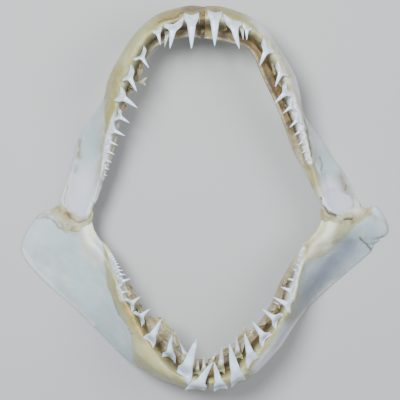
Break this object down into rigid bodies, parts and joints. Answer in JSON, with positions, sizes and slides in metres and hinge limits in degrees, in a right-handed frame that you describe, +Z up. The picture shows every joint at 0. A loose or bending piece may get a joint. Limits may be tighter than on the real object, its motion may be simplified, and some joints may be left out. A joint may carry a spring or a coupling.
{
  "type": "mako shark jaw",
  "caption": "Dried mako shark jaws opened wide, with long curved teeth around the mouth, lying on their back.",
  "frame": {"origin": "on the floor, under the middle of the jaws' box", "axes": "+Y from the lower jaw's front to the upper jaw's front, +Z up out of the mouth towards the viewer, +X to the viewer's right"},
  "size_m": [0.3802, 0.3824, 0.0953],
  "materials": {
    "cartilage": "satin dried cartilage, bluish white blades and cream dental bands",
    "teeth": "glossy enamel crowns on matt chalky roots",
    "membrane": "dried, translucent amber to dark brown skin",
    "ligament": "dried fibrous tissue, cream to ochre"
  },
  "bodies": {
    "root": {"jaw_upper_left": "cartilage", "jaw_upper_right": "cartilage", "jaw_lower_left": "cartilage", "jaw_lower_right": "cartilage", "membrane_upper_left": "membrane", "membrane_upper_right": "membrane", "membrane_lower_left": "membrane", "membrane_lower_right": "membrane", "joint_ligament_left": "ligament", "joint_ligament_right": "ligament", "upper_symphysis": "ligament", "lower_symphysis": "ligament"}
  },
  "joints": []
}
